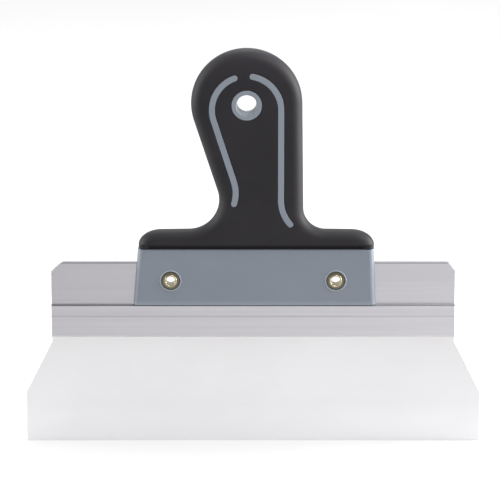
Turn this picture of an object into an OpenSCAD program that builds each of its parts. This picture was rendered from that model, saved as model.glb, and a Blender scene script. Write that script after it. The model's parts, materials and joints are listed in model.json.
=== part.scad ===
// Wide taping knife: a stainless blade clamped in an aluminium rail, a two-component handle
// and two tubular rivets that hold the rail in the handle.
// Units are millimetres. The origin is the middle of the cutting edge, X runs along the edge,
// Y through the thickness and Z up towards the hang hole. The front face is at -Y.

/* [Blade] */
// Length of the cutting edge
edge_w = 250; // [236:1:270]
// Sheet thickness of the blade
blade_t = 0.6; // [0.4:0.1:1]
// Height of the straight sides above the cutting edge
blade_side_h = 28; // [15:1:40]
// Height at which the slanting sides meet the rail's width
blade_shoulder_z = 57; // [50:0.5:59]
// Depth of blade held inside the rail
blade_grip_depth = 12; // [8:1:14]

/* [Rail] */
// Length of the aluminium rail
rail_w = 221; // [190:1:230]
// Height of the rail's lower edge
rail_bottom_z = 60; // [59:0.5:62]
// Height of the shoulder between the thick band and the tongue
rail_shoulder_z = 78; // [77:0.5:78]
// Height of the tongue's upper edge
rail_top_z = 101.4; // [98:0.2:103]
// Thickness of the band that clamps the blade
band_t = 6.4; // [5:0.2:7]
// Thickness of the tongue that enters the handle
tongue_t = 2.2; // [1.6:0.1:3]
// Rounding of the band's lower edges
band_round = 1.4; // [0.4:0.1:2]
// Length of the corner cut at the tongue's left end
left_cut_along = 7; // [3:0.1:9]
// Height of the corner cut at the tongue's left end
left_cut_down = 5.2; // [3:0.1:9]
// Length of the corner cut at the tongue's right end
right_cut_along = 4.6; // [3:0.1:9]
// Height of the corner cut at the tongue's right end
right_cut_down = 4.8; // [3:0.1:9]

/* [Handle base] */
// Thickness of the plastic base
base_t = 9; // [8:0.5:11]
// Height of the base's lower face
base_bottom_z = 78.4; // [78:0.1:79]
// Height of the base's upper face
base_top_z = 110.6; // [108:0.2:111]
// Left end of the base at its lower face
base_bottom_left_x = -65.4; // [-68:0.1:-64]
// Right end of the base at its lower face
base_bottom_right_x = 66.9; // [66:0.1:69]
// Left end of the base at its upper face
base_top_left_x = -62.6; // [-64:0.1:-62]
// Right end of the base at its upper face
base_top_right_x = 65.7; // [64:0.1:66]
// Bevel at the ends of the base's faces
base_end_bevel = 2.6; // [1:0.1:4]
// Depth of the bevels, through the thickness
base_bevel_depth = 1.1; // [0.5:0.1:2]
// Height of the long bevel at the base's lower edge
base_foot_bevel = 3.4; // [1:0.1:5]

/* [Grip] */
// Thickness of the soft grip
grip_t = 14; // [13.5:0.5:16]
// Rounding of the grip's edges
grip_round = 6.5; // [3:0.5:6.5]
// Sideways position of the round head and its hang hole
head_x = -3.5; // [-5:0.1:-2]
// Height of the round head's centre and its hang hole
head_z = 190.3; // [188:0.1:192]
// Radius of the round head
head_r = 30; // [28:0.5:33]
// Height of the flange's upper face
flange_top_z = 120.4; // [120.2:0.1:122]
// How far that face falls towards the flange's ends
flange_fall = 0.2; // [0.1:0.1:0.5]
// Height of the grip's lower edge
flange_bottom_z = 112.7; // [112:0.1:113]
// Radius of the flange's outer corners
flange_corner_r = 14.5; // [14:0.5:16]
// Sideways position of the left flange corner's centre
flange_left_x = -49.5; // [-50:0.1:-48]
// Sideways position of the right flange corner's centre
flange_right_x = 52.9; // [52:0.1:54]
// Radius of the finger hollow on the left
finger_r = 16.6; // [14:0.2:18]
// Sideways position of the finger hollow's centre
finger_x = -35.1; // [-37:0.1:-34]
// Radius of the fillet on the right
heel_r = 12.2; // [10:0.2:14]
// Sideways position of the fillet's centre
heel_x = 39.4; // [38:0.1:41]
// Depth of the gap between the grip and the base
gap_depth = 1.2; // [0.6:0.1:1.4]

/* [Handle core] */
// Thickness of the core inside the grip
spine_t = 6; // [5:0.5:6.5]
// Distance from the grip's outline to the core's outline
spine_inset = 5; // [5:0.5:6.5]
// Width of the two visible ribs
rib_w = 3.3; // [2.5:0.1:4]
// Radius of the ribs round the head
rib_head_r = 18.6; // [17:0.1:20]
// Sideways position of the centre of the ribs' head arcs
rib_x = -3.6; // [-4.5:0.1:-3]
// Height of the centre of the ribs' head arcs
rib_z = 187.7; // [186:0.1:189]
// Radius of the left rib's lower curl
left_curl_r = 20.7; // [19:0.1:22]
// Sideways position of the left curl's centre
left_curl_x = -30.2; // [-32:0.1:-29]
// Height of the left curl's centre
left_curl_z = 142; // [140:0.1:144]
// Radius of the right rib's lower curl
right_curl_r = 20.5; // [19:0.1:22]
// Sideways position of the right curl's centre
right_curl_x = 35.5; // [34:0.1:37]
// Height of the right curl's centre
right_curl_z = 138; // [136:0.1:140]
// Angle of the left rib's upper end, round the head
left_rib_head_a = 110.3; // [105:0.1:120]
// Angle of the left rib's lower end, round its curl
left_rib_foot_a = -17; // [-20:0.1:-5]
// Angle of the right rib's upper end, round the head
right_rib_head_a = 80; // [65:0.1:85]
// Angle of the right rib's lower end, round its curl
right_rib_foot_a = 221.4; // [200:0.1:224]

/* [Hang hole] */
// Outer diameter of the ring round the hole
ring_d = 16.3; // [15:0.1:18]
// Diameter of the hole at its narrow middle
hole_d = 10.2; // [9:0.1:10.8]
// Diameter of the hole at the faces
hole_mouth_d = 11.2; // [11:0.1:13]
// Length of the narrow middle
hole_land = 6; // [3:0.5:8]

/* [Rivets] */
// Distance between the rivets
rivet_spacing = 90; // [70:1:100]
// Height of the rivets
rivet_z = 92.4; // [90:0.2:94]
// Diameter of the holes for the rivets
rivet_hole_d = 6; // [6:0.1:7]
// Outer diameter of a rivet's tube
rivet_tube_d = 5.9; // [5.6:0.1:5.9]
// Inner diameter of a rivet's tube
rivet_bore_d = 4.8; // [4:0.1:5]
// Radius of the rolled lip's section
rivet_lip_r = 0.5; // [0.4:0.05:0.6]
// Diameter of the rivet's rear flange and of the front washer
washer_d = 10; // [8:0.2:11]
// Thickness of the front washer
washer_t = 0.5; // [0.4:0.1:0.8]
// Diameter of the seats in the base
seat_d = 11.4; // [11:0.1:13]
// Depth of the seats in the base
seat_depth = 0.6; // [0.4:0.1:0.8]

/* [Hidden] */

round_fn = 96;
// Small step that keeps two curved surfaces from touching along a line
eps = 0.05;
// How far a cut reaches past the face that it opens
past = 1;
// How far one solid reaches into its neighbour so that they fuse
bite = 1;
// How far a flared cut passes its face, too little to change its mouth
flare_past = 0.005;

blade_top_z = rail_bottom_z + blade_grip_depth;
// Gap on each side of the tongue in the base, and round the tube in the washer
slot_clearance = 0.1;
washer_clearance = 0.1;

// Neck of the core between the base and the spine
neck_t = spine_t - 1;
neck_foot = 4;
neck_left_x = base_top_left_x + 12;
neck_right_x = base_top_right_x - 12;

// The step at the base's ends, before the bevel starts
end_step_t = 1;
end_step_in = base_end_bevel / 3;

head_centre = [head_x, head_z];
rib_centre = [rib_x, rib_z];
left_curl_centre = [left_curl_x, left_curl_z];
right_curl_centre = [right_curl_x, right_curl_z];
finger_centre = [finger_x, flange_top_z + finger_r];
heel_centre = [heel_x, flange_top_z + heel_r];
corner_z = flange_top_z - flange_fall - flange_corner_r;

// Steps along each side of the head, each hollow, each flange corner and the rounded edge
head_steps = 16;
hollow_steps = 14;
corner_steps = 7;
edge_steps = 5;
// Steps along each curve of a rib and round each of its ends
rib_steps = 12;
tip_steps = 8;
// Half of the angle between the first points on either side of the head's top
top_gap_a = 3;

seat_y = base_t / 2 - seat_depth;
washer_y = seat_y + washer_t;
lip_y = washer_y + rivet_lip_r;
rivet_x = rivet_spacing / 2;

// Direction of the common normal of the tangent that crosses between two circles.
// turn is -1 or 1 and picks one of the two crossing tangents.
function cross_tangent(c1, r1, c2, r2, turn) =
  let (d = c2 - c1)
  atan2(d[1], d[0]) + turn * acos((r1 + r2) / norm(d));

function arc(c, r, from, to, steps) =
  [for (i = [0 : steps]) let (a = from + (to - from) * i / steps) c + r * [cos(a), sin(a)]];

// Angle at which a flange corner, set in by inset, meets the grip's lower edge
function corner_cut(inset) = asin((flange_bottom_z - corner_z) / (flange_corner_r - inset));

// The grip's left side in X and Z from the top down, set in by inset
function left_side(inset) =
  let (turn = cross_tangent(head_centre, head_r, finger_centre, finger_r, -1) + 360)
  concat(
    arc(head_centre, head_r - inset, 90 + top_gap_a, turn, head_steps),
    arc(finger_centre, finger_r + inset, turn - 180, -90, hollow_steps),
    arc([flange_left_x, corner_z], flange_corner_r - inset, 90, 180 - corner_cut(inset),
        corner_steps)
  );

// The grip's right side in X and Z from the bottom up, set in by inset
function right_side(inset) =
  let (turn = cross_tangent(head_centre, head_r, heel_centre, heel_r, 1))
  concat(
    arc([flange_right_x, corner_z], flange_corner_r - inset, corner_cut(inset), 90,
        corner_steps),
    arc(heel_centre, heel_r + inset, 270, turn + 180, hollow_steps),
    arc(head_centre, head_r - inset, turn, 90 - top_gap_a, head_steps)
  );

// Closed outline of the grip, set in by inset everywhere but along its lower edge
function grip_outline(inset) = concat(right_side(inset), left_side(inset));

// Points between the two sides of a rib, round its end at c. a is the angle of that end on
// its curve, and way is 1 for the left rib and -1 for the right one.
function rib_tip(c, a, way) =
  [for (i = [1 : tip_steps - 1])
    let (t = a - way * 180 * (1 - i / tip_steps)) c + rib_w / 2 * [cos(t), sin(t)]];

// Closed outline of a rib in X and Z: round the head, straight on, then round its curl
function rib_outline(way, head_a, foot_a, curl_centre, curl_r) =
  let (
    turn = cross_tangent(rib_centre, rib_head_r, curl_centre, curl_r, -way) + 180 * (way + 1),
    curl_a = turn - way * 180,
    half_w = rib_w / 2,
    head_tip = rib_centre + rib_head_r * [cos(head_a), sin(head_a)],
    foot_tip = curl_centre + curl_r * [cos(foot_a), sin(foot_a)]
  )
  concat(
    arc(rib_centre, rib_head_r + half_w, head_a, turn, rib_steps),
    arc(curl_centre, curl_r - half_w, curl_a, foot_a, rib_steps),
    rib_tip(foot_tip, foot_a, way),
    arc(curl_centre, curl_r + half_w, foot_a, curl_a, rib_steps),
    arc(rib_centre, rib_head_r - half_w, turn, head_a, rib_steps),
    rib_tip(head_tip, head_a, way)
  );

// Places a shape drawn in X and Z, with a thickness centred on the middle plane
module across(thickness) {
  rotate([90, 0, 0])
    linear_extrude(height = thickness, center = true)
      children();
}

// Places a round shape's axis along Y, at x and z
module along_y(x, z) {
  translate([x, 0, z])
    rotate([90, 0, 0])
      children();
}

// One bevelled corner to take off the end of the tongue; side is -1 or 1
module tongue_corner(side, along, down) {
  end_x = rail_w / 2;
  across(tongue_t + 2 * past)
    polygon([
      [side * (end_x + past), rail_top_z - down - past * down / along],
      [side * (end_x + past), rail_top_z + past],
      [side * (end_x - along - past * along / down), rail_top_z + past]
    ]);
}

// Section of the rail in Y and Z
module rail_section() {
  difference() {
    union() {
      translate([-band_t / 2, rail_bottom_z + band_round])
        square([band_t, rail_shoulder_z - rail_bottom_z - band_round]);
      translate([-band_t / 2 + band_round, rail_bottom_z])
        square([band_t - 2 * band_round, band_round + bite]);
      for (side = [-1, 1])
        translate([side * (band_t / 2 - band_round), rail_bottom_z + band_round])
          circle(r = band_round, $fn = round_fn);
      translate([-tongue_t / 2, rail_shoulder_z - bite])
        square([tongue_t, rail_top_z - rail_shoulder_z + bite]);
    }
    translate([-blade_t / 2, rail_bottom_z - past])
      square([blade_t, blade_grip_depth + past]);
  }
}

// Everything of the core that the grip is moulded round
module core_in_grip() {
  across(spine_t)
    polygon(grip_outline(spine_inset));
  translate([neck_left_x, -neck_t / 2, base_top_z - neck_foot])
    cube([neck_right_x - neck_left_x, neck_t, flange_bottom_z - base_top_z + neck_foot + bite]);
  across(grip_t)
    polygon(rib_outline(1, left_rib_head_a, left_rib_foot_a, left_curl_centre, left_curl_r));
  across(grip_t)
    polygon(rib_outline(-1, right_rib_head_a, right_rib_foot_a, right_curl_centre, right_curl_r));
  along_y(head_centre[0], head_centre[1])
    cylinder(d = ring_d, h = grip_t, center = true, $fn = round_fn);
}

// One flat slab of the base, set in at both ends and at the foot
module base_slab(thickness, end_inset, foot_inset) {
  across(thickness)
    polygon([
      [base_bottom_left_x + end_inset, base_bottom_z + foot_inset],
      [base_bottom_right_x - end_inset, base_bottom_z + foot_inset],
      [base_top_right_x - end_inset, base_top_z],
      [base_top_left_x + end_inset, base_top_z]
    ]);
}

module base_block() {
  bevelled_t = base_t - 2 * base_bevel_depth;
  hull() {
    base_slab(bevelled_t - end_step_t, 0, 0);
    base_slab(bevelled_t, end_step_in, 0);
    base_slab(base_t, base_end_bevel, base_foot_bevel);
  }
}

// The waisted hang hole: a straight land with a cone at each side
module hang_hole_cut() {
  cone_l = (grip_t - hole_land) / 2;
  along_y(head_centre[0], head_centre[1]) {
    cylinder(d = hole_d, h = grip_t + 2 * past, center = true, $fn = round_fn);
    for (side = [0, 1])
      mirror([0, 0, side])
        translate([0, 0, hole_land / 2])
          cylinder(d1 = hole_d, d2 = hole_mouth_d, h = cone_l + flare_past, $fn = round_fn);
  }
}

module rivet_holes(thickness) {
  for (side = [-1, 1])
    along_y(side * rivet_x, rivet_z)
      cylinder(d = rivet_hole_d, h = thickness, center = true, $fn = round_fn);
}

module rivet_seats() {
  for (side = [-1, 1])
    along_y(side * rivet_x, rivet_z)
      for (face = [0, 1])
        mirror([0, 0, face])
          translate([0, 0, seat_y])
            cylinder(d = seat_d, h = seat_depth + past, $fn = round_fn);
}

// Thin stainless sheet, slanting in from the cutting edge to the rail
module blade() {
  color("gainsboro")
    across(blade_t)
      polygon([
        [-edge_w / 2, 0], [edge_w / 2, 0],
        [edge_w / 2, blade_side_h], [rail_w / 2, blade_shoulder_z],
        [rail_w / 2, blade_top_z], [-rail_w / 2, blade_top_z],
        [-rail_w / 2, blade_shoulder_z], [-edge_w / 2, blade_side_h]
      ]);
}

// Aluminium extrusion: a slotted band below, a tongue above
module rail() {
  color("silver")
    difference() {
      rotate([90, 0, 90])
        linear_extrude(height = rail_w, center = true)
          rail_section();
      tongue_corner(-1, left_cut_along, left_cut_down);
      tongue_corner(1, right_cut_along, right_cut_down);
      rivet_holes(tongue_t + 2 * past);
    }
}

// Hard plastic core: slotted base, spine, two ribs and the hang hole's ring
module handle_core() {
  color("slategray")
    difference() {
      union() {
        base_block();
        core_in_grip();
      }
      translate([base_bottom_left_x - past, -tongue_t / 2 - slot_clearance,
                 base_bottom_z - past])
        cube([base_bottom_right_x - base_bottom_left_x + 2 * past,
              tongue_t + 2 * slot_clearance, rail_top_z - base_bottom_z + past]);
      rivet_holes(base_t + 2 * past);
      rivet_seats();
      hang_hole_cut();
    }
}

// The grip's solid body, with every edge but the lower one rounded: outlines stacked from the
// front face to the back face, each set in as the rounding needs
module grip_body() {
  flat = grip_t / 2 - grip_round;
  half = [for (i = [0 : edge_steps]) let (a = 90 * i / edge_steps)
            [grip_round * (1 - cos(a)), flat + grip_round * sin(a)]];
  levels = concat([for (i = [edge_steps : -1 : 0]) [half[i][0], -half[i][1]]], half);
  points = [for (level = levels) for (p = grip_outline(level[0])) [p[0], level[1], p[1]]];
  count = len(grip_outline(0));
  last = (len(levels) - 1) * count;
  sides = [for (k = [0 : len(levels) - 2]) for (i = [0 : count - 1])
             let (j = (i + 1) % count)
             [k * count + i, k * count + j, (k + 1) * count + j, (k + 1) * count + i]];
  // Each face is a ladder of four-sided rungs between the left and right sides
  front = [for (i = [0 : count / 2 - 2]) [count - 1 - i, count - 2 - i, i + 1, i]];
  back = [for (rung = front) [for (i = [3 : -1 : 0]) last + rung[i]]];
  polyhedron(points = points, faces = concat(front, sides, back), convexity = 6);
}

// The narrow collar that leaves a gap above the base
module grip_collar() {
  translate([base_top_left_x + gap_depth, -base_t / 2 + gap_depth, base_top_z])
    cube([base_top_right_x - base_top_left_x - 2 * gap_depth, base_t - 2 * gap_depth,
          flange_bottom_z - base_top_z + bite]);
}

// Soft grip moulded round the core
module grip() {
  color("#2b292c")
    difference() {
      union() {
        grip_body();
        grip_collar();
      }
      core_in_grip();
    }
}

// Tubular rivet with a flange behind and a rolled lip in front; side is -1 or 1
module rivet(side) {
  color("#c8b06a")
    along_y(side * rivet_x, rivet_z)
      difference() {
        union() {
          translate([0, 0, -seat_y - seat_depth])
            cylinder(d = washer_d, h = seat_depth, $fn = round_fn);
          translate([0, 0, -seat_y - seat_depth / 2])
            cylinder(d = rivet_tube_d, h = seat_y + seat_depth / 2 + lip_y, $fn = round_fn);
          translate([0, 0, lip_y])
            rotate_extrude($fn = round_fn)
              translate([rivet_bore_d / 2 + eps + rivet_lip_r, 0])
                circle(r = rivet_lip_r, $fn = round_fn);
        }
        cylinder(d = rivet_bore_d, h = 2 * (lip_y + past), center = true, $fn = round_fn);
      }
}

// Flat washer under the rolled lip; side is -1 or 1
module washer(side) {
  color("dimgray")
    along_y(side * rivet_x, rivet_z)
      translate([0, 0, seat_y])
        difference() {
          cylinder(d = washer_d, h = washer_t, $fn = round_fn);
          translate([0, 0, -past])
            cylinder(d = rivet_tube_d + washer_clearance, h = washer_t + 2 * past, $fn = round_fn);
        }
}

blade();
rail();
handle_core();
grip();
rivet(-1);  // rivet_left
rivet(1);  // rivet_right
washer(-1);  // washer_left
washer(1);  // washer_right
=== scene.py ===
import json
import math

import bmesh
import bpy
import numpy as np
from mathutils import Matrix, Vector
from mathutils.geometry import delaunay_2d_cdt


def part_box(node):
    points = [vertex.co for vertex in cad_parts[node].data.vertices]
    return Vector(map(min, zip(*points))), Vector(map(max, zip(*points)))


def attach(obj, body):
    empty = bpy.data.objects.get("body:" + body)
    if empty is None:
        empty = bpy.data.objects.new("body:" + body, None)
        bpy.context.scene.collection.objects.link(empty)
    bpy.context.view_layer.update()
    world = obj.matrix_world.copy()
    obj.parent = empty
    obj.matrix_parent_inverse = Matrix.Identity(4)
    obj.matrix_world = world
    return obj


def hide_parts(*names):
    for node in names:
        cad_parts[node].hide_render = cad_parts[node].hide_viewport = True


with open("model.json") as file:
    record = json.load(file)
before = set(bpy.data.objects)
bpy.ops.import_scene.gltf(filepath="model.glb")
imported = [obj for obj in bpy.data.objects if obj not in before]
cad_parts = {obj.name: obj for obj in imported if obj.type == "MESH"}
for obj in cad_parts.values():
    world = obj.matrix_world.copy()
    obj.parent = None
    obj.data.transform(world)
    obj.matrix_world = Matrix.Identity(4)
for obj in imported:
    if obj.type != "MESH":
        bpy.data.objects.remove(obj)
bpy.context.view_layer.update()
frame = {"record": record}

# A wide taping knife: blade, rail, core, grip, two tubular rivets and two washers. Shapes are
# worked out in millimetres in the frame's own axes: X along the cutting edge, Y through the
# thickness with the front at -Y, Z up. Outlines are drawn in X and Z.
MM = 0.001


def box_mm(node):
    """Lowest and highest corner of a CAD node, in millimetres."""
    low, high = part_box(node)
    return np.array(low) / MM, np.array(high) / MM


def mount(name):
    """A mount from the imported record."""
    return next(m for m in frame["record"]["mounts"] if m["name"] == name)


BLADE_LOW, BLADE_HIGH = box_mm("blade")
RAIL_LOW, RAIL_HIGH = box_mm("rail")
CORE_LOW, CORE_HIGH = box_mm("handle_core")
GRIP_LOW, GRIP_HIGH = box_mm("grip")
HOLE = mount("hang_hole")
RIVETS = mount("rivet_holes")

# Blade
BLADE_SIDE_H = 28.0
BLADE_SHOULDER_Z = 57.0
BLADE_EDGE = 0.1
BLADE_CORNER = 0.6

# Rail: its shoulder, its tongue, the slot for the blade and the corner cuts (along, down)
SHOULDER_Z = 78.0
TONGUE_T = 2.2
TONGUE_TOP_Z = RAIL_HIGH[2] + 0.6
BAND_ROUND = 1.4
SMALL_ROUND = 0.35
END_DEBURR = 0.3
LEFT_CUT = (7.0, 5.2)
RIGHT_CUT = (4.6, 4.8)
CUT_BULGE = 0.55

# The rail's crease: its depth, where it starts and fades in from the ends, and its section as
# (height from the blade's upper edge, share of the depth)
CREASE_DEPTH = 0.07
CREASE_START = 8.0
CREASE_FADE = 30.0
CREASE = ((-0.9, 0.0), (-0.45, 0.5), (0.0, 1.0), (0.25, 0.5), (0.6, 0.0))
RAIL_MIDDLE_X = 95.0

# Base of the handle
BASE_T = 9.0
BASE_TOP_Z = 109.95
BASE_TOP_X = (-62.8, 65.9)
BASE_END_ROUND = 3.3
BASE_FOOT_H = 3.4
BASE_FOOT_DEPTH = 0.6
BASE_TOP_ROUND = 1.1
BASE_TOP_STEPS = [0.05, 0.2]
BASE_CORNER = 0.5
SLOT_GAP = 0.1

# Grip
HEAD = np.array([HOLE["pos_m"][0], HOLE["pos_m"][2]]) / MM
HEAD_R = 30.0
GRIP_HALF = (GRIP_HIGH[1] - GRIP_LOW[1]) / 2
GRIP_ROUND = 6.5
FLANGE_TOP_Z = 120.4
FLANGE_BOTTOM_Z = 112.7
FLANGE_FALL = 0.2
FLANGE_RX = 12.7
FLANGE_RZ = 8.75
FLANGE_X = (-49.8, 53.2)
FINGER_R = 16.6
FINGER = np.array([-35.1, FLANGE_TOP_Z + FINGER_R])
HEEL_R = 12.2
HEEL = np.array([39.4, FLANGE_TOP_Z + HEEL_R])
CORNER_Z = FLANGE_TOP_Z - FLANGE_FALL - FLANGE_RZ
LIP_ROUND = 0.6
PARTING_DEPTH = 0.1
CROWN = 0.25
CROWN_REACH = 12.0
TAPER = 0.11
TAPER_TOP_Z = 135.0
COLLAR_GAP = 2.1
COLLAR_END = 5.99
COLLAR_REACH = 0.05
COLLAR_FACE = 0.1
COLLAR_SIDE = 0.05

# Ribs and ring of the core, which show in the grip's faces
RIB_HALF_W = 1.65
RIB_HEAD = np.array([-3.6, 187.7])
RIB_HEAD_R = 18.6
RIBS = {
    "left": {"way": 1, "head_a": 110.3, "foot_a": -17.0, "curl": (-30.2, 142.0), "r": 20.7},
    "right": {"way": -1, "head_a": 80.0, "foot_a": 221.4, "curl": (35.5, 138.0), "r": 20.5},
}
RIB_ROUND = 0.25
RING_R = 8.15
RING_PROUD = 0.05
RING_RIM = 0.3
RING_MOUTH = 0.55
RING_WALL_Y = 1.0
HOLE_R = HOLE["dims"]["r_mm"] + 0.1
HOLE_LAND = HOLE["dims"]["length_mm"]
HOLE_MOUTH_R = 5.65
SEAM_GAP = 0.1
SEAM_ROUND = 0.35
SPINE_INSET = 5.0
SPINE_HALF = 3.0
NECK_HALF = 2.2
NECK_END = 12.0
NECK_FOOT = 4.0

# Rivets and washers
RIVET_X = RIVETS["dims"]["spacing_x_mm"] / 2
RIVET_Z = RIVETS["pos_m"][2] / MM
RIVET_BORE_R = RIVETS["dims"]["hole_r_mm"] + 0.1
RIVET_TUBE_R = 2.95
RIVET_HOLE_R = 3.0
RIVET_FLARE_R = 2.85
RIVET_FLARE_Y = 1.8
RIVET_MOUTH = 0.6
RIVET_EDGE = 0.25
LIP_R = 0.5
WASHER_R = 4.95
WASHER_T = 0.5
WASHER_EDGE = 0.2
WASHER_DISH = 0.12
WASHER_SLOPE = 0.9
SEAT_R = 5.25
SEAT_DEPTH = 0.6
SEAT_CHAMFER = 0.1
BEAD_R = 0.36
BEAD_OUT = 0.32
BEAD_SUNK = 0.02

# The photograph's view
CAMERA_TILT = math.radians(14.5)
CAMERA_DISTANCE = 1.689
CAMERA_AIM = Vector((-0.00173, 0.0, 0.1086))
CAMERA_LENS = 223.2

# The studio: softboxes as (name, place in metres, side in metres, power in watts), and the floor
SOFTBOXES = (
    ("right_softbox", (1.3, 0.1, 0.45), 0.9, 46.0),
    ("left_softbox", (-1.3, 0.1, 0.45), 0.9, 18.5),
    ("top_softbox", (0.45, -0.55, 1.2), 0.7, 9.0),
    ("back_softbox", (0.0, 1.4, 2.4), 1.6, 42.0),
)
WORLD_STRENGTH = 0.66
FLOOR_HALF = 6000.0
FLOOR_GAP = 0.05


# ---- Outlines ----

def arc(centre, radius, start, end, steps):
    """Points along an arc, from start to end in degrees."""
    a = np.radians(np.linspace(start, end, steps + 1))
    return np.column_stack([centre[0] + radius * np.cos(a), centre[1] + radius * np.sin(a)])


def cross_tangent(c1, r1, c2, r2, turn):
    """Angle of the common normal of a tangent that crosses between two circles."""
    d = np.asarray(c2, float) - np.asarray(c1, float)
    lean = math.degrees(math.acos((r1 + r2) / np.hypot(*d)))
    return math.degrees(math.atan2(d[1], d[0])) + turn * lean


def smooth(t):
    """Eases from 0 to 1."""
    t = np.clip(t, 0.0, 1.0)
    return t * t * (3 - 2 * t)


def corner_cut(inset, bottom_z):
    """Angle at which a flange corner, set in, meets the grip's lower edge."""
    return math.degrees(math.asin((bottom_z - CORNER_Z) / (FLANGE_RZ - inset)))


def flange_corner(x, inset, start, end):
    """A corner of the flange, a quarter oval round x, set in."""
    stretch = (FLANGE_RX - inset) / (FLANGE_RZ - inset)
    points = arc((0, CORNER_Z), FLANGE_RZ - inset, start, end, 16)
    return points * [stretch, 1] + [x, 0]


def grip_loop(inset, lift=0.0):
    """Closed outline of the grip, set in by inset, with its lower edge raised by lift."""
    cut = corner_cut(inset, FLANGE_BOTTOM_Z + lift)
    right_turn = cross_tangent(HEAD, HEAD_R, HEEL, HEEL_R, 1)
    left_turn = cross_tangent(HEAD, HEAD_R, FINGER, FINGER_R, -1) + 360
    top_gap = 1.0
    return np.vstack([
        flange_corner(FLANGE_X[1], inset, cut, 90),
        arc(HEEL, HEEL_R + inset, 270, right_turn + 180, 28),
        arc(HEAD, HEAD_R - inset, right_turn, 90 - top_gap, 44),
        arc(HEAD, HEAD_R - inset, 90 + top_gap, left_turn, 44),
        arc(FINGER, FINGER_R + inset, left_turn - 180, -90, 36),
        flange_corner(FLANGE_X[0], inset, 90, 180 - cut),
    ])


def rib_loop(rib, offset):
    """Closed outline of a rib grown by offset. It starts at the middle of the head's end."""
    way, curl, half = rib["way"], rib["curl"], RIB_HALF_W + offset
    turn = cross_tangent(RIB_HEAD, RIB_HEAD_R, curl, rib["r"], -way) + 180 * (way + 1)
    curl_a = turn - way * 180
    head_tip = arc(RIB_HEAD, RIB_HEAD_R, rib["head_a"], rib["head_a"], 0)[0]
    foot_tip = arc(curl, rib["r"], rib["foot_a"], rib["foot_a"], 0)[0]
    foot = arc(foot_tip, half, rib["foot_a"] - way * 180, rib["foot_a"], 12)[1:-1]
    head = arc(head_tip, half, rib["head_a"] - way * 180, rib["head_a"], 12)[1:-1]
    loop = np.vstack([
        arc(RIB_HEAD, RIB_HEAD_R + half, rib["head_a"], turn, 40),
        arc(curl, rib["r"] - half, curl_a, rib["foot_a"], 24),
        foot,
        arc(curl, rib["r"] + half, rib["foot_a"], curl_a, 24),
        arc(RIB_HEAD, RIB_HEAD_R - half, turn, rib["head_a"], 40),
        head,
    ])
    return np.roll(loop, len(head) // 2 + 1, axis=0)


def ring_loop(radius, steps=72):
    """A circle round the hang hole."""
    return arc(HEAD, radius, 0, 360, steps)[:-1]


def inside(points, loop):
    """Which points lie inside a closed outline."""
    x, z = points[:, 0][:, None], points[:, 1][:, None]
    x1, z1 = loop[:, 0], loop[:, 1]
    x2, z2 = np.roll(x1, -1), np.roll(z1, -1)
    spans = (z1 > z) != (z2 > z)
    rise = np.where(z2 == z1, 1.0, z2 - z1)
    return (spans & (x < x1 + (z - z1) * (x2 - x1) / rise)).sum(axis=1) % 2 == 1


def distance(points, loop):
    """Distance of each point from a closed outline."""
    a, b = loop, np.roll(loop, -1, axis=0)
    along = b - a
    length = np.maximum((along ** 2).sum(axis=1), 1e-12)
    t = ((points[:, None] - a) * along).sum(axis=2) / length
    foot = a + np.clip(t, 0, 1)[..., None] * along
    return np.sqrt(((points[:, None] - foot) ** 2).sum(axis=2)).min(axis=1)


# ---- Meshes ----

class Shell:
    """Collects points in millimetres and faces, and makes one object of them."""

    def __init__(self):
        self.points = []
        self.faces = []

    def add(self, points):
        """Adds points and returns their numbers."""
        first = len(self.points)
        self.points.extend(map(tuple, np.asarray(points, float)))
        return list(range(first, len(self.points)))

    def loop(self, outline, y):
        """Adds an outline drawn in X and Z, at y, which is one number or one for each point."""
        y = np.broadcast_to(y, len(outline))
        return self.add(np.column_stack([outline[:, 0], y, outline[:, 1]]))

    def bridge(self, a, b):
        """Joins two closed loops of equal length."""
        n = len(a)
        self.faces += [(a[i], a[(i + 1) % n], b[(i + 1) % n], b[i]) for i in range(n)]

    def skin(self, loops):
        """Joins a row of closed loops one to the next."""
        for a, b in zip(loops, loops[1:]):
            self.bridge(a, b)

    def cap(self, loop):
        """Closes a flat loop."""
        self.faces.append(tuple(loop))

    def strip(self, loop):
        """Closes a long loop whose two sides mirror each other, with one rung after another."""
        n = len(loop)
        self.faces.append((loop[0], loop[1], loop[n - 1]))
        for i in range(1, n // 2 - 1):
            self.faces.append((loop[i], loop[i + 1], loop[n - i - 1], loop[n - i]))
        self.faces.append((loop[n // 2 - 1], loop[n // 2], loop[n // 2 + 1]))

    def turn(self, profile, x, z, steps):
        """Turns a profile of (radius, y) about the line along Y through x and z: its rings."""
        a = np.linspace(0, 2 * math.pi, steps, endpoint=False)
        return [
            self.add(np.column_stack([x + r * np.cos(a), np.full(steps, y), z + r * np.sin(a)]))
            for r, y in profile
        ]

    def lathe(self, profile, x, z, steps):
        """A solid turned from a closed profile."""
        rings = self.turn(profile, x, z, steps)
        self.skin(rings + rings[:1])

    def object(self, name):
        """The object, with its points welded and its faces turned outwards."""
        mesh = bpy.data.meshes.new(name)
        mesh.from_pydata([tuple(c * MM for c in p) for p in self.points], [], self.faces)
        bm = bmesh.new()
        bm.from_mesh(mesh)
        bmesh.ops.remove_doubles(bm, verts=bm.verts, dist=1e-7)
        bmesh.ops.dissolve_degenerate(bm, edges=bm.edges, dist=1e-8)
        bmesh.ops.recalc_face_normals(bm, faces=bm.faces)
        bm.to_mesh(mesh)
        bm.free()
        obj = bpy.data.objects.new(name, mesh)
        bpy.context.scene.collection.objects.link(obj)
        return obj


def slab(shell, outline, half):
    """Adds a flat solid of that outline and half thickness to a shell."""
    ends = [shell.loop(outline, -half), shell.loop(outline, half)]
    shell.skin(ends)
    shell.cap(ends[0])
    shell.cap(ends[1])
    return shell


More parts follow.
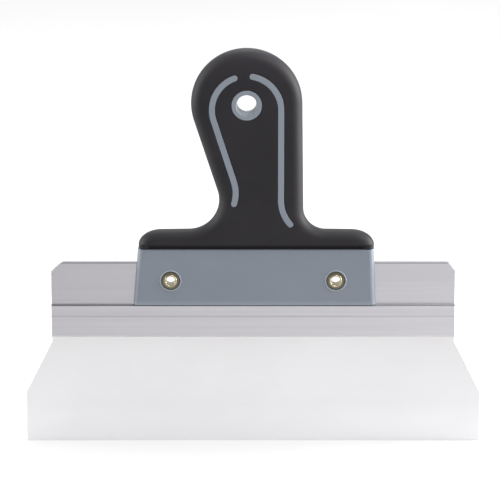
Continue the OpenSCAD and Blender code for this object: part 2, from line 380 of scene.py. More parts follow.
def join(obj, others):
    """Moves the others' meshes into obj."""
    bm = bmesh.new()
    bm.from_mesh(obj.data)
    for other in others:
        bm.from_mesh(other.data)
        bpy.data.objects.remove(other)
    bm.to_mesh(obj.data)
    bm.free()


def cut_away(obj, cutters):
    """Takes the cutters' solids out of obj and deletes them."""
    for cutter in cutters:
        cut = obj.modifiers.new("cut", "BOOLEAN")
        cut.operation = "DIFFERENCE"
        cut.solver = "EXACT"
        cut.object = cutter
    bpy.context.view_layer.update()
    evaluated = obj.evaluated_get(bpy.context.evaluated_depsgraph_get())
    mesh = bpy.data.meshes.new_from_object(evaluated)
    obj.modifiers.clear()
    obj.data = mesh
    for cutter in cutters:
        bpy.data.objects.remove(cutter)


def finish_piece(obj, node, material, sharp=35.0):
    """Shades the piece, gives it its material and puts it in the frame in its node's place."""
    mesh = obj.data
    for face in mesh.polygons:
        face.use_smooth = True
    mesh.set_sharp_from_angle(angle=math.radians(sharp))
    weighted = obj.modifiers.new("normals", "WEIGHTED_NORMAL")
    weighted.keep_sharp = True
    mesh.materials.clear()
    mesh.materials.append(material)
    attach(obj, "root")
    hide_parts(node)
    return obj


# ---- Grip ----

def taper(z):
    """The grip gets a little thinner towards the base."""
    return 1 - TAPER * smooth((TAPER_TOP_Z - z) / (TAPER_TOP_Z - FLANGE_BOTTOM_Z))


def face_y(points, contour):
    """Half thickness of the grip over its flat of the face, slightly crowned."""
    crown = CROWN * smooth(distance(points, contour) / CROWN_REACH)
    return (GRIP_HALF + crown) * taper(points[:, 1])


def grip_levels(steps=14):
    """(inset, y) down the rounded edge, from the front face to the middle."""
    flat = GRIP_HALF - GRIP_ROUND
    levels = []
    for a in np.radians(np.linspace(90, 0, steps + 1)):
        levels.append((GRIP_ROUND * (1 - math.cos(a)), flat + GRIP_ROUND * math.sin(a)))
    return levels


def lip_lift(y):
    """How far the lower edge rises where it rounds into the face."""
    into = max(0.0, y - (GRIP_HALF - LIP_ROUND))
    return LIP_ROUND - math.sqrt(max(0.0, LIP_ROUND ** 2 - into ** 2))


def face_mesh(contour, holes, spacing=1.7):
    """Fills the contour round the holes with small triangles: (points, faces)."""
    low, high = contour.min(axis=0), contour.max(axis=0)
    rows = np.arange(low[1], high[1], spacing * 0.866)
    grid = np.array([
        (x + (k % 2) * spacing / 2, z)
        for k, z in enumerate(rows)
        for x in np.arange(low[0], high[0], spacing)
    ])
    grid = grid[inside(grid, contour) & (distance(grid, contour) > spacing * 0.6)]
    for hole in holes:
        grid = grid[~inside(grid, hole) & (distance(grid, hole) > spacing * 0.5)]
    loops = [contour] + holes
    points, edges = [], []
    for loop in loops:
        first, n = len(points), len(loop)
        points += [Vector(p) for p in loop]
        edges += [(first + i, first + (i + 1) % n) for i in range(n)]
    points += [Vector(p) for p in grid]
    made = delaunay_2d_cdt(points, edges, [], 0, 1e-5)
    flat = np.array([tuple(p) for p in made[0]])
    faces = np.array([f for f in made[2] if len(f) == 3])
    centres = flat[faces].mean(axis=1)
    keep = inside(centres, contour)
    for hole in holes:
        keep &= ~inside(centres, hole)
    return flat, faces[keep]


def seam_profile(steps=4):
    """(offset from the feature, depth) down the rounded lip of a channel."""
    start = SEAM_GAP + SEAM_ROUND
    return [
        (start - SEAM_ROUND * math.sin(a), SEAM_ROUND * (1 - math.cos(a)))
        for a in np.radians(np.linspace(0, 90, steps + 1))
    ]


def channel(shell, outline, contour, side, floor_y):
    """The rounded lip and wall of a channel in the face on one side; returns its lowest loop."""
    loops = []
    for offset, depth in seam_profile():
        points = outline(offset)
        loops.append(shell.loop(points, side * (face_y(points, contour) - depth)))
    loops.append(shell.loop(outline(SEAM_GAP), side * floor_y))
    shell.skin(loops)
    return loops[-1]


def collar_plan():
    """Plan of the band between grip and base: a groove in both faces, closed at the ends."""
    reach = FLANGE_RX * math.cos(math.radians(corner_cut(0, FLANGE_BOTTOM_Z))) - COLLAR_SIDE
    left, right = FLANGE_X[0] - reach, FLANGE_X[1] + reach
    deep, full = BASE_T / 2 - COLLAR_GAP, BASE_T / 2 - COLLAR_FACE
    inner_x = right - COLLAR_END
    front = np.vstack([
        [(inner_x, -deep), (inner_x + COLLAR_GAP, -full)],
        arc((right - BASE_END_ROUND, BASE_END_ROUND - full), BASE_END_ROUND, -90, 0, 8),
    ])
    right_end = np.vstack([front, front[::-1] * [1, -1]])
    left_end = right_end[::-1] * [-1, 1] + [left + right, 0]
    return np.vstack([right_end, left_end])


def grip_skin(shell, levels):
    """The grip's rounded outside, from one face to the other."""
    rows = []
    for side in (-1, 1):
        half = []
        for inset, y in levels:
            loop = grip_loop(inset, lip_lift(y))
            half.append(shell.loop(loop, side * y * taper(loop[:, 1])))
        rows.append(half)
    parting = shell.loop(grip_loop(PARTING_DEPTH), 0.0)
    shell.skin(rows[0] + [parting] + rows[1][::-1])


def grip_faces(shell, contour):
    """Both faces of the grip, with channels for the ribs and a bore for the ring."""
    start = SEAM_GAP + SEAM_ROUND
    holes = [rib_loop(rib, start) for rib in RIBS.values()] + [ring_loop(RING_R + start)]
    flat, faces = face_mesh(contour, holes)
    half_t = face_y(flat, contour)
    ring_ends = []
    for side in (-1, 1):
        numbers = shell.loop(flat, side * half_t)
        shell.faces += [tuple(numbers[i] for i in f) for f in faces]
        for rib in RIBS.values():
            end = channel(shell, lambda o, r=rib: rib_loop(r, o), contour, side, SPINE_HALF)
            shell.strip(end)
        ring_ends.append(
            channel(shell, lambda o: ring_loop(RING_R + o), contour, side, RING_WALL_Y))
    shell.bridge(*ring_ends)


def add_collar(shell):
    """The solid band between grip and base."""
    plan = collar_plan()
    collar = [
        shell.add(np.column_stack([plan, np.full(len(plan), z)]))
        for z in (BASE_TOP_Z, FLANGE_BOTTOM_Z + COLLAR_REACH)
    ]
    shell.skin(collar)
    shell.cap(collar[0])
    shell.cap(collar[1])


def make_grip(material):
    """The soft grip: outside, faces and collar."""
    shell = Shell()
    levels = grip_levels()
    grip_skin(shell, levels)
    grip_faces(shell, grip_loop(levels[0][0], lip_lift(levels[0][1])))
    add_collar(shell)
    return finish_piece(shell.object("soft_grip"), "grip", material, 50)


# ---- Core ----

def rounded(corners, radius, steps):
    """A polygon with each corner rounded."""
    corners = np.array(corners, float)
    out = []
    for i, p in enumerate(corners):
        before = corners[i - 1] - p
        after = corners[(i + 1) % len(corners)] - p
        before /= np.hypot(*before)
        after /= np.hypot(*after)
        half = math.acos(np.clip(before @ after, -1, 1)) / 2
        reach = radius / math.tan(half)
        middle = before + after
        centre = p + middle / np.hypot(*middle) * radius / math.sin(half)
        a = math.atan2(*(p + before * reach - centre)[::-1])
        b = math.atan2(*(p + after * reach - centre)[::-1])
        b = a + (b - a + math.pi) % (2 * math.pi) - math.pi
        t = np.linspace(a, b, steps + 1)
        out.append(np.column_stack([centre[0] + radius * np.cos(t),
                                    centre[1] + radius * np.sin(t)]))
    return np.vstack(out)


def quarter(radius, depth):
    """How far a quarter round of that radius is set in, at a depth below the face."""
    into = max(0.0, radius - depth)
    return radius - math.sqrt(max(0.0, radius ** 2 - into ** 2))


def base_level(depth):
    """Outline of the base at a depth below its face."""
    end = quarter(BASE_END_ROUND, depth)
    foot = BASE_FOOT_H * max(0.0, 1 - depth / BASE_FOOT_DEPTH)
    top = quarter(BASE_TOP_ROUND, depth)
    bottom_z, top_z = CORE_LOW[2] + foot, BASE_TOP_Z - top
    corners = [
        (CORE_LOW[0] + end, bottom_z),
        (CORE_HIGH[0] - end, bottom_z),
        (BASE_TOP_X[1] - end, top_z),
        (BASE_TOP_X[0] + end, top_z),
    ]
    return rounded(corners, BASE_CORNER, 5)


def make_base():
    """The base as its own shell, with its slot and rivet seats cut."""
    shell = Shell()
    turns = [BASE_END_ROUND * (1 - math.cos(a)) for a in np.radians(np.linspace(0, 90, 17))]
    depths = sorted(set(turns + BASE_TOP_STEPS + [BASE_FOOT_DEPTH, BASE_TOP_ROUND]))
    front = [shell.loop(base_level(d), d - BASE_T / 2) for d in depths]
    back = [shell.loop(base_level(d), BASE_T / 2 - d) for d in depths]
    shell.skin(front + back[::-1])
    shell.cap(front[0])
    shell.cap(back[0])
    base = shell.object("base")
    cutters = [slot_cutter()] + [seat_cutter(side * RIVET_X) for side in (-1, 1)]
    cut_away(base, cutters)
    return base


def slot_cutter():
    """The space of the rail's tongue in the base."""
    past = 2.0
    x0, x1 = CORE_LOW[0] - past, CORE_HIGH[0] + past
    z0, z1 = CORE_LOW[2] - past, TONGUE_TOP_Z + SLOT_GAP
    box = np.array([(x0, z0), (x1, z0), (x1, z1), (x0, z1)])
    return slab(Shell(), box, TONGUE_T / 2 + SLOT_GAP).object("slot")


def seat_cutter(x):
    """A rivet's hole with a chamfered seat on both faces."""
    face = BASE_T / 2
    past = 1.0
    half = [
        (SEAT_R + SEAT_CHAMFER + past, face + past), (SEAT_R, face - SEAT_CHAMFER),
        (SEAT_R, face - SEAT_DEPTH), (RIVET_HOLE_R, face - SEAT_DEPTH),
    ]
    profile = [(r, -y) for r, y in half] + half[::-1]
    shell = Shell()
    rings = shell.turn(profile, x, RIVET_Z, 64)
    shell.skin(rings)
    shell.cap(rings[0])
    shell.cap(rings[-1])
    return shell.object("seat")


def add_ribs(shell, contour):
    """The two ribs, which run through the spine and end just proud of both faces."""
    for rib in RIBS.values():
        loops = []
        for side in (-1, 1):
            half = []
            for a in np.radians(np.linspace(90, 0, 5)):
                points = rib_loop(rib, -RIB_ROUND * (1 - math.cos(a)))
                depth = RIB_ROUND * (1 - math.sin(a))
                half.append(shell.loop(points, side * (face_y(points, contour) - depth)))
            loops.append(half)
        shell.skin(loops[0] + loops[1][::-1])
        shell.strip(loops[0][0])
        shell.strip(loops[1][0])


def add_ring(shell, contour):
    """The hang hole's ring, with a rounded rim and a hole that narrows to its middle."""
    face = face_y(HEAD[None] + [RING_R, 0], contour)[0] + RING_PROUD
    rim, mouth = RING_RIM, RING_MOUTH
    half = [(RING_R, 0.0)]
    for a in np.radians(np.linspace(0, 90, 5)):
        half.append((RING_R - rim + rim * math.cos(a), face - rim + rim * math.sin(a)))
    for a in np.radians(np.linspace(90, 170, 7)):
        half.append((HOLE_MOUTH_R + mouth * (1 + math.cos(a)), face - mouth * (1 - math.sin(a))))
    half.append((HOLE_R, HOLE_LAND / 2))
    profile = [(r, -y) for r, y in half[:0:-1]] + half
    shell.lathe(profile, HEAD[0], HEAD[1], 96)


def seat_bead():
    """Closed profile of the low bead that the riveting pushes up round a seat."""
    centre = (SEAT_R + BEAD_OUT, BEAD_SUNK - BASE_T / 2)
    return list(map(tuple, arc(centre, BEAD_R, 0, 330, 11)))


def make_spine():
    """The flat spine inside the grip, drilled for the hang hole."""
    spine = slab(Shell(), grip_loop(SPINE_INSET), SPINE_HALF).object("spine")
    cut_away(spine, [slab(Shell(), ring_loop(RING_R - 1), GRIP_HALF).object("hole")])
    return spine


def make_core(material):
    """The hard core: ribs, ring, neck, seat beads, base and spine."""
    shell = Shell()
    contour = grip_loop(GRIP_ROUND, lip_lift(GRIP_HALF))
    add_ribs(shell, contour)
    add_ring(shell, contour)
    left, right = BASE_TOP_X[0] + NECK_END, BASE_TOP_X[1] - NECK_END
    neck = np.array([
        (left, BASE_TOP_Z - NECK_FOOT), (right, BASE_TOP_Z - NECK_FOOT),
        (right, FLANGE_BOTTOM_Z + 1), (left, FLANGE_BOTTOM_Z + 1),
    ])
    slab(shell, neck, NECK_HALF)
    for side in (-1, 1):
        shell.lathe(seat_bead(), side * RIVET_X, RIVET_Z, 72)
        shell.lathe([(r, -y) for r, y in seat_bead()], side * RIVET_X, RIVET_Z, 72)
    core = shell.object("handle_core_shape")
    join(core, [make_base(), make_spine()])
    return finish_piece(core, "handle_core", material, 40)


# ---- Rail and blade ----

def rail_section(shrink, top_z, crease):
    """Section of the rail as (y, z), closed, with its slot for the blade."""
    band, tongue = RAIL_HIGH[1] - shrink, TONGUE_T / 2 - shrink
    low, high = RAIL_LOW[2] + shrink, top_z - shrink
    slot = BLADE_HIGH[1] + shrink
    slot_top = BLADE_HIGH[2]
    half = [(slot, slot_top), (slot, low)]
    half += list(arc((band - BAND_ROUND, low + BAND_ROUND), BAND_ROUND, -90, 0, 7))
    half += [(band - crease * share, slot_top + up) for up, share in CREASE]
    shoulder = SHOULDER_Z - shrink
    half += list(arc((band - SMALL_ROUND, shoulder - SMALL_ROUND), SMALL_ROUND, 0, 90, 4))
    half += list(arc((tongue + SMALL_ROUND, shoulder + SMALL_ROUND), SMALL_ROUND, 270, 180, 4))
    half += list(arc((tongue - SMALL_ROUND, high - SMALL_ROUND), SMALL_ROUND, 0, 90, 4))
    half = np.array(half)
    mirrored = half[::-1] * [-1, 1]
    return np.vstack([half, mirrored])


def tongue_top(x):
    """Height of the tongue's upper edge at x, lower in its two cut corners."""
    for side, (along, down) in ((-1, LEFT_CUT), (1, RIGHT_CUT)):
        into = along - (RAIL_HIGH[0] - side * x)
        if into > 0:
            t = into / along
            return TONGUE_TOP_Z - down * t + CUT_BULGE * math.sin(math.pi * t)
    return TONGUE_TOP_Z


def make_rail(material):
    """The extrusion, drawn section by section along X and drilled for the rivets."""
    shell = Shell()
    end = RAIL_HIGH[0]
    near = [end - LEFT_CUT[0] * t for t in np.linspace(0, 1, 9)]
    close = [end - RIGHT_CUT[0] * t for t in np.linspace(0, 1, 9)]
    middle = list(np.linspace(-RAIL_MIDDLE_X, RAIL_MIDDLE_X, 9))
    stations = [-x for x in near] + [-end + END_DEBURR] + middle + [end - END_DEBURR] + close
    rings = []
    for x in sorted(set(np.round(stations, 4))):
        shrink = END_DEBURR if abs(abs(x) - end) < 1e-3 else 0.0
        crease = CREASE_DEPTH * smooth((end - CREASE_START - abs(x)) / CREASE_FADE)
        section = rail_section(shrink, tongue_top(x), crease)
        rings.append(shell.add(np.column_stack([np.full(len(section), x), section])))
    shell.skin(rings)
    shell.cap(rings[0])
    shell.cap(rings[-1])
    rail = shell.object("blade_rail")
    circles = [arc((x, RIVET_Z), RIVET_HOLE_R, 0, 360, 48)[:-1] for x in (-RIVET_X, RIVET_X)]
    cut_away(rail, [slab(Shell(), c, TONGUE_T).object("drill") for c in circles])
    return finish_piece(rail, "rail", material, 28)


def make_blade(material):
    """The sheet: its outline at four levels, with a fine chamfer on both faces."""
    shell = Shell()
    half_t = BLADE_HIGH[1]
    rail_x = RAIL_HIGH[0]
    levels = []
    for inset, y in ((BLADE_EDGE, -half_t), (0, BLADE_EDGE - half_t),
                     (0, half_t - BLADE_EDGE), (BLADE_EDGE, half_t)):
        x, low, top = BLADE_HIGH[0] - inset, BLADE_LOW[2] + inset, BLADE_HIGH[2] - inset
        corner = list(arc((x - BLADE_CORNER, low + BLADE_CORNER), BLADE_CORNER, -90, 0, 4))
        right = corner + [(x, BLADE_SIDE_H), (rail_x - inset, BLADE_SHOULDER_Z)]
        right = np.array(right + [(rail_x - inset, top)])
        left = right[::-1] * [-1, 1]
        levels.append(shell.loop(np.vstack([right, left]), y))
    shell.skin(levels)
    n = len(levels[0])
    for loop in (levels[0], levels[-1]):
        for i in range(n // 2 - 1):
            shell.faces.append((loop[i], loop[i + 1], loop[n - i - 2], loop[n - i - 1]))
    return finish_piece(shell.object("knife_blade"), "blade", material, 25)


# ---- Rivets and washers ----

def rivet_profile():
    """Closed profile of a rivet as (radius, y): rolled lip in front, flange behind."""
    seat = BASE_T / 2 - SEAT_DEPTH
    lip_y = -(seat + WASHER_T + LIP_R)
    lip = arc((RIVET_BORE_R + LIP_R, lip_y), LIP_R, 180, 450, 18)
    back = BASE_T / 2
    flange = arc((WASHER_R - RIVET_EDGE, back - RIVET_EDGE), RIVET_EDGE, 0, 90, 4)
    mouth = arc((RIVET_FLARE_R + RIVET_MOUTH, back - RIVET_MOUTH), RIVET_MOUTH, 90, 180, 5)
    tube = [(RIVET_TUBE_R, lip_y + LIP_R), (RIVET_TUBE_R, seat), (WASHER_R, seat)]
    return list(map(tuple, lip)) + tube + list(map(tuple, flange)) + (
        list(map(tuple, mouth)) + [(RIVET_BORE_R, RIVET_FLARE_Y)])


def washer_profile():
    """Closed profile of a washer as (radius, y), dished a little."""
    seat = -(BASE_T / 2 - SEAT_DEPTH)
    front = seat - WASHER_T
    rim = arc((WASHER_R - WASHER_EDGE, front + WASHER_EDGE + WASHER_DISH), WASHER_EDGE, 0, -90, 4)
    return [(RIVET_HOLE_R, seat), (WASHER_R, seat)] + list(map(tuple, rim)) + [
        (WASHER_R - WASHER_SLOPE, front), (RIVET_HOLE_R, front)]


def make_turned(name, node, profile, side, material):
    """A turned piece on the left (-1) or right (1) rivet's axis."""
    shell = Shell()
    shell.lathe(profile, side * RIVET_X, RIVET_Z, 72)
    return finish_piece(shell.object(name), node, material, 40)


# ---- Materials ----

class Look:
    """A procedural material, built node by node on one Principled shader."""

    def __init__(self, name, **sockets):
        self.material = bpy.data.materials.new(name)
        self.material.use_nodes = True
        self.nodes = self.material.node_tree.nodes
        self.links = self.material.node_tree.links
        self.shader = self.nodes["Principled BSDF"]
        for socket, value in sockets.items():
            self.shader.inputs[socket.replace("_", " ")].default_value = value
        self.place = self.nodes.new("ShaderNodeTexCoord").outputs["Object"]

    def put(self, value, socket):
        """Links an output to a socket, or sets a plain value on it."""
        if isinstance(value, bpy.types.NodeSocket):
            self.links.new(value, socket)
        else:
            socket.default_value = value

    def noise(self, scale, stretch=(1, 1, 1), detail=3.0, roughness=0.55):
        """Noise over the object, from 0 to 1. scale is in waves per metre."""
        mapping = self.nodes.new("ShaderNodeMapping")
        mapping.inputs["Scale"].default_value = stretch
        self.links.new(self.place, mapping.inputs["Vector"])
        noise = self.nodes.new("ShaderNodeTexNoise")
        noise.inputs["Scale"].default_value = scale
        noise.inputs["Detail"].default_value = detail
        noise.inputs["Roughness"].default_value = roughness
        self.links.new(mapping.outputs["Vector"], noise.inputs["Vector"])
        return noise.outputs["Fac"]

    def spread(self, value, low, high, start=0.3, end=0.7):
        """Maps a value from start..end to low..high."""
        node = self.nodes.new("ShaderNodeMapRange")
        self.links.new(value, node.inputs["Value"])
        node.inputs["From Min"].default_value = start
        node.inputs["From Max"].default_value = end
        node.inputs["To Min"].default_value = low
        node.inputs["To Max"].default_value = high
        return node.outputs["Result"]

    def mix(self, factor, a, b):
        """Mixes two colours."""
        node = self.nodes.new("ShaderNodeMix")
        node.data_type = "RGBA"
        self.put(factor, node.inputs["Factor"])
        self.put(a, node.inputs[6])
        self.put(b, node.inputs[7])
        return node.outputs[2]

    def math(self, operation, a, b=0.0):
        """One step of arithmetic."""
        node = self.nodes.new("ShaderNodeMath")
        node.operation = operation
        self.put(a, node.inputs[0])
        self.put(b, node.inputs[1])
        return node.outputs[0]

    def split(self, vector):
        """The three parts of a vector."""
        node = self.nodes.new("ShaderNodeSeparateXYZ")
        self.links.new(vector, node.inputs[0])
        return list(node.outputs)

    def wear_and_highlight(self, strength):
        """Lighter rounds, part wear and part painted highlight: 0 on flats that face along an
        axis, strength between them.
        """
        normal = self.nodes.new("ShaderNodeTexCoord").outputs["Normal"]
        x, y, z = [self.math("ABSOLUTE", part) for part in self.split(normal)]
        most = self.math("MAXIMUM", self.math("MAXIMUM", x, y), z)
        rounds = self.spread(most, strength, 0.0, 0.78, 0.98)
        uneven = self.spread(self.noise(60, (1, 1, 1), 4), 0.6, 1.0)
        return self.math("MULTIPLY", rounds, uneven)

    def ends(self, strength):
        """Faces that look left or right, for painted shade on the cut ends: strength there, 0
        elsewhere.
        """
        normal = self.nodes.new("ShaderNodeTexCoord").outputs["Normal"]
        sideways = self.math("ABSOLUTE", self.split(normal)[0])
        return self.spread(sideways, 0.0, strength, 0.82, 0.88)

    def rise(self, low, high, strength):
        """Grows from 0 to strength between two heights, in millimetres."""
        return self.spread(self.split(self.place)[2], 0.0, strength, low * MM, high * MM)

    def across(self, left, right, low, high):
        """Goes from low to high between two places along the edge, in millimetres."""
        return self.spread(self.split(self.place)[0], low, high, left * MM, right * MM)

    def line(self, height, half, strength):
        """A thin line all the way along at a height, in millimetres."""
        z = self.split(self.place)[2]
        away = self.math("ABSOLUTE", self.math("SUBTRACT", z, height * MM))
        return self.spread(away, strength, 0.0, half * MM * 0.5, half * MM)

    def halo(self, x, z, radius, half, strength):
        """A thin ring round a line along Y through x and z, in millimetres."""
        px, _, pz = self.split(self.place)
        dx = self.math("SUBTRACT", px, x * MM)
        dz = self.math("SUBTRACT", pz, z * MM)
        squares = self.math("ADD", self.math("MULTIPLY", dx, dx), self.math("MULTIPLY", dz, dz))
        away = self.math("SUBTRACT", self.math("SQRT", squares), radius * MM)
        return self.spread(self.math("ABSOLUTE", away), strength, 0.0, half * MM * 0.5, half * MM)

    def bump(self, height, strength, depth, under=None):
        """Bump from a height, over another bump."""
        node = self.nodes.new("ShaderNodeBump")
        node.inputs["Strength"].default_value = strength
        node.inputs["Distance"].default_value = depth
        self.links.new(height, node.inputs["Height"])
        if under is not None:
            self.links.new(under, node.inputs["Normal"])
        return node.outputs["Normal"]

    def finish(self, colour, roughness, normal):
        """Links the three to the shader and returns the material."""
        self.put(colour, self.shader.inputs["Base Color"])
        self.put(roughness, self.shader.inputs["Roughness"])
        self.put(normal, self.shader.inputs["Normal"])
        return self.material


def rgba(r, g, b):
    """An opaque colour."""
    return (r, g, b, 1.0)


def steel_look():
    """Bright stainless sheet: fine grain, soft clouds, painted shade towards the top and the right
    end, and painted light towards the cutting edge.
    """
    look = Look("stainless_sheet", Metallic=1.0)
    grain = look.noise(260, (0.25, 1, 14), 4)
    cloud = look.noise(17, (1, 1, 1.4), 4)
    base = look.mix(look.spread(cloud, 0, 1), rgba(0.722, 0.712, 0.728), rgba(0.775, 0.772, 0.788))
    colour = look.mix(look.spread(grain, 0, 0.25), base, rgba(0.70, 0.69, 0.70))
    # Painted shade: darker towards the top of the blade.
    upper_painted_shade = look.rise(BLADE_HIGH[2] * 0.2, BLADE_HIGH[2], 0.62)
    colour = look.mix(upper_painted_shade, colour, rgba(0.60, 0.587, 0.590))
    # Painted shade: darker towards the right end.
    right_painted_shade = look.across(BLADE_HIGH[0] * 0.3, BLADE_HIGH[0], 0.0, 0.3)
    colour = look.mix(right_painted_shade, colour, rgba(0.60, 0.59, 0.60))
    # Painted light: lighter towards the cutting edge, filling in the dim floor reflection there.
    edge_painted_light = look.rise(BLADE_HIGH[2] * 0.3, BLADE_LOW[2], 0.45)
    colour = look.mix(edge_painted_light, colour, rgba(0.95, 0.95, 0.96))
    # Lighter rounds: part wear, part painted highlight.
    colour = look.mix(look.wear_and_highlight(0.5), colour, rgba(0.92, 0.91, 0.92))
    # Painted shade: the ends that face the side lights darkened.
    colour = look.mix(look.ends(0.9), colour, rgba(0.20, 0.195, 0.20))
    rough = look.spread(grain, 0.30, 0.42)
    return look.finish(colour, rough, look.bump(grain, 0.12, 0.00004))


def aluminium_look():
    """Mill finish extrusion: die lines that run its whole length, with painted shade and painted
    light laid over them.
    """
    look = Look("extruded_aluminium", Metallic=1.0)
    lines = look.noise(26, (0.09, 1, 9), 6, 0.6)
    fine = look.noise(300, (0.08, 1, 8), 3)
    base = look.mix(look.spread(lines, 0, 1), rgba(0.45, 0.44, 0.464), rgba(0.535, 0.525, 0.553))
    colour = look.mix(look.spread(fine, 0, 0.16), base, rgba(0.44, 0.43, 0.46))
    # Painted shade towards the left end and painted light towards the right end.
    dark = look.across(RAIL_LOW[0], 0.0, 0.35, 0.0)
    light = look.across(0.0, RAIL_HIGH[0], 0.0, 0.2)
    colour = look.mix(dark, colour, rgba(0.40, 0.39, 0.41))
    colour = look.mix(light, colour, rgba(0.62, 0.61, 0.64))
    # Painted shade: the tongue above the shoulder darkened, more towards the left end.
    tongue_painted_shade = look.math("MULTIPLY", look.rise(SHOULDER_Z, SHOULDER_Z + 3, 1.0),
                     look.across(RAIL_LOW[0], RAIL_LOW[0] * 0.2, 0.5, 0.26))
    colour = look.mix(tongue_painted_shade, colour, rgba(0.40, 0.39, 0.41))
    # Lighter rounds: a painted highlight along the band's lower edge, with some wear.
    colour = look.mix(look.wear_and_highlight(0.8), colour, rgba(0.90, 0.89, 0.91))
    # Painted shade: thin dark lines in the corner at the shoulder, along the tongue's top edge and
    # in the crease above the blade.
    painted_shade_colour = rgba(0.16, 0.155, 0.165)
    colour = look.mix(look.line(SHOULDER_Z + 0.05, 0.45, 0.7), colour, painted_shade_colour)
    colour = look.mix(look.line(TONGUE_TOP_Z, 1.0, 0.75), colour, painted_shade_colour)
    colour = look.mix(look.line(BLADE_HIGH[2], 0.5, 0.25), colour, painted_shade_colour)
    # Painted shade: the ends that face the side lights darkened.
    colour = look.mix(look.ends(0.9), colour, rgba(0.13, 0.127, 0.134))
    rough = look.spread(fine, 0.30, 0.44)
    normal = look.bump(lines, 0.2, 0.00006)
    return look.finish(colour, rough, look.bump(fine, 0.15, 0.00003, normal))


def plastic_look():
    """Blue-grey moulded plastic: fine texture, with painted light at the foot, the top, the seats
    and the hole.
    """
    look = Look("grey_plastic", IOR=1.5, Specular_IOR_Level=0.5)
    cloud = look.noise(30, (1, 1, 1), 3)
    grain = look.noise(2200, (1, 1, 1), 2)
    base = look.mix(look.spread(cloud, 0, 1), rgba(0.142, 0.164, 0.195),
                    rgba(0.154, 0.177, 0.209))
    # Painted light: lighter towards the foot's bevel.
    foot = look.rise(CORE_LOW[2] + BASE_FOOT_H, CORE_LOW[2], 0.5)
    colour = look.mix(foot, base, rgba(0.25, 0.28, 0.32))
    # Painted light: lighter towards the top, as if lit from above.
    colour = look.mix(look.rise(FLANGE_TOP_Z, TAPER_TOP_Z, 0.12), colour, rgba(0.25, 0.28, 0.32))
    for side in (-1, 1):
        # Painted highlight: a light ring at each seat's rim.
        painted_light_mask = look.halo(side * RIVET_X, RIVET_Z, SEAT_R + 0.35, 0.5, 0.45)
        colour = look.mix(painted_light_mask, colour, rgba(0.34, 0.36, 0.38))
    # Painted light: a light ring at the hang hole's wall.
    colour = look.mix(look.halo(HEAD[0], HEAD[1], HOLE_R, 0.45, 0.6), colour,
                      rgba(0.42, 0.46, 0.52))
    # Lighter rounds: part wear, part painted highlight.
    colour = look.mix(look.wear_and_highlight(0.22), colour, rgba(0.32, 0.35, 0.40))
    rough = look.spread(grain, 0.36, 0.46)
    return look.finish(colour, rough, look.bump(grain, 0.18, 0.00003))


def rubber_look():
    """Black soft-touch rubber: matt, finely pebbled, greyer towards the top of the head as painted
    light, and on its rounds from wear and painted highlight.
    """
    look = Look("soft_rubber", IOR=1.5, Specular_IOR_Level=0.19, Sheen_Weight=0.04,
                Sheen_Roughness=0.4)
    cloud = look.noise(45, (1, 1, 1), 4)
    pebble = look.noise(1500, (1, 1, 1), 2)
    base = look.mix(look.spread(cloud, 0, 1), rgba(0.0112, 0.0100, 0.0128),
                    rgba(0.0158, 0.0142, 0.0174))
    # Painted light: greyer towards the top of the head, as if lit from above.
    painted_light_mask = look.rise(HEAD[1] + HEAD_R * 0.4, HEAD[1] + HEAD_R, 0.45)
    colour = look.mix(painted_light_mask, base, rgba(0.034, 0.031, 0.036))
    # Lighter rounds: part wear, part painted highlight.
    colour = look.mix(look.wear_and_highlight(0.25), colour, rgba(0.030, 0.029, 0.031))
    rough = look.spread(cloud, 0.50, 0.60)
    return look.finish(colour, rough, look.bump(pebble, 0.45, 0.00008))


def brass_look():
    """Bright brass with fine turning and a little tarnish."""
    look = Look("rivet_brass", Metallic=1.0)
    tarnish = look.noise(260, (1, 1, 1), 2)
    colour = look.mix(look.spread(tarnish, 0, 1), rgba(0.47, 0.415, 0.285),
                      rgba(0.36, 0.315, 0.205))
    colour = look.mix(look.wear_and_highlight(0.4), colour, rgba(0.62, 0.56, 0.41))
    rough = look.spread(tarnish, 0.28, 0.36)
    return look.finish(colour, rough, look.bump(tarnish, 0.05, 0.00003))


def dark_steel_look():
    """Dark oiled steel."""
    look = Look("dark_steel", Metallic=1.0)
    stain = look.noise(500, (1, 1, 1), 4)
    colour = look.mix(look.spread(stain, 0, 1), rgba(0.060, 0.060, 0.056),
                      rgba(0.120, 0.115, 0.105))
    # Brass-toned round each hole, fading outwards.
    for side in (-1, 1):
        brass_tone_near_hole = look.halo(side * RIVET_X, RIVET_Z, RIVET_HOLE_R, 1.9, 0.55)
        colour = look.mix(brass_tone_near_hole, colour, rgba(0.22, 0.20, 0.13))
    colour = look.mix(look.wear_and_highlight(0.4), colour, rgba(0.24, 0.23, 0.21))
    rough = look.spread(stain, 0.34, 0.52)
    return look.finish(colour, rough, look.bump(stain, 0.2, 0.00004))


def floor_look():
    """Plain pale floor, a little luminous so that it stays white in the picture."""
    look = Look("pale_floor", Specular_IOR_Level=0.1, Emission_Strength=0.27,
                Emission_Color=rgba(1.0, 1.0, 1.0))
    cloud = look.noise(2, (1, 1, 1), 2)
    colour = look.mix(look.spread(cloud, 0, 1), rgba(0.42, 0.42, 0.42), rgba(0.44, 0.44, 0.44))
    return look.finish(colour, 0.9, look.bump(cloud, 0.02, 0.0005))


# ---- Stage ----

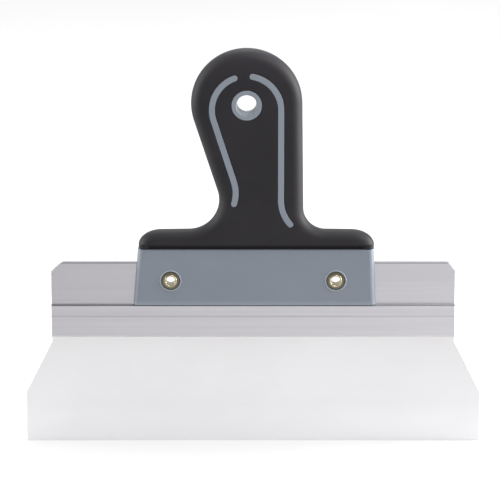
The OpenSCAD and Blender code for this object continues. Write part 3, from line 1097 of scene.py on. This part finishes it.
def make_floor():
    """A wide floor just under the cutting edge."""
    shell = Shell()
    half = FLOOR_HALF
    shell.cap(shell.add([(-half, -half, 0), (half, -half, 0), (half, half, 0), (-half, half, 0)]))
    floor = shell.object("floor")
    floor.location.z = (BLADE_LOW[2] - FLOOR_GAP) * MM
    floor.data.materials.append(floor_look())


def make_softbox(name, place, side, power):
    """A square area light aimed at the knife and hidden from the camera."""
    data = bpy.data.lights.new(name, "AREA")
    data.shape = "SQUARE"
    data.size = side
    data.energy = power
    lamp = bpy.data.objects.new(name, data)
    lamp.location = place
    lamp.visible_camera = False
    lamp.rotation_mode = "QUATERNION"
    lamp.rotation_quaternion = (CAMERA_AIM - Vector(place)).to_track_quat("-Z", "Y")
    bpy.context.scene.collection.objects.link(lamp)


def make_world(strength):
    """Even white light from all round."""
    world = bpy.data.worlds.new("studio")
    world.use_nodes = True
    background = world.node_tree.nodes["Background"]
    background.inputs["Color"].default_value = rgba(1.0, 1.0, 1.0)
    background.inputs["Strength"].default_value = strength
    bpy.context.scene.world = world


def make_camera():
    """The photograph's camera, tilted down and far back."""
    data = bpy.data.cameras.new("camera")
    data.sensor_width = 36.0
    data.lens = CAMERA_LENS
    camera = bpy.data.objects.new("camera", data)
    back = Vector((0, -math.cos(CAMERA_TILT), math.sin(CAMERA_TILT)))
    camera.location = CAMERA_AIM + back * CAMERA_DISTANCE
    camera.rotation_euler = (math.pi / 2 - CAMERA_TILT, 0, 0)
    bpy.context.scene.collection.objects.link(camera)
    bpy.context.scene.camera = camera


def make_stage():
    """Floor, light and camera."""
    make_floor()
    make_world(WORLD_STRENGTH)
    for softbox in SOFTBOXES:
        make_softbox(*softbox)
    make_camera()
    bpy.context.scene.view_settings.view_transform = "Standard"


def make_knife():
    """All eight pieces."""
    brass = brass_look()
    dark = dark_steel_look()
    make_blade(steel_look())
    make_rail(aluminium_look())
    make_core(plastic_look())
    make_grip(rubber_look())
    for side, word in ((-1, "left"), (1, "right")):
        make_turned("brass_rivet_" + word, "rivet_" + word, rivet_profile(), side, brass)
        make_turned("dark_washer_" + word, "washer_" + word, washer_profile(), side, dark)


make_knife()
make_stage()
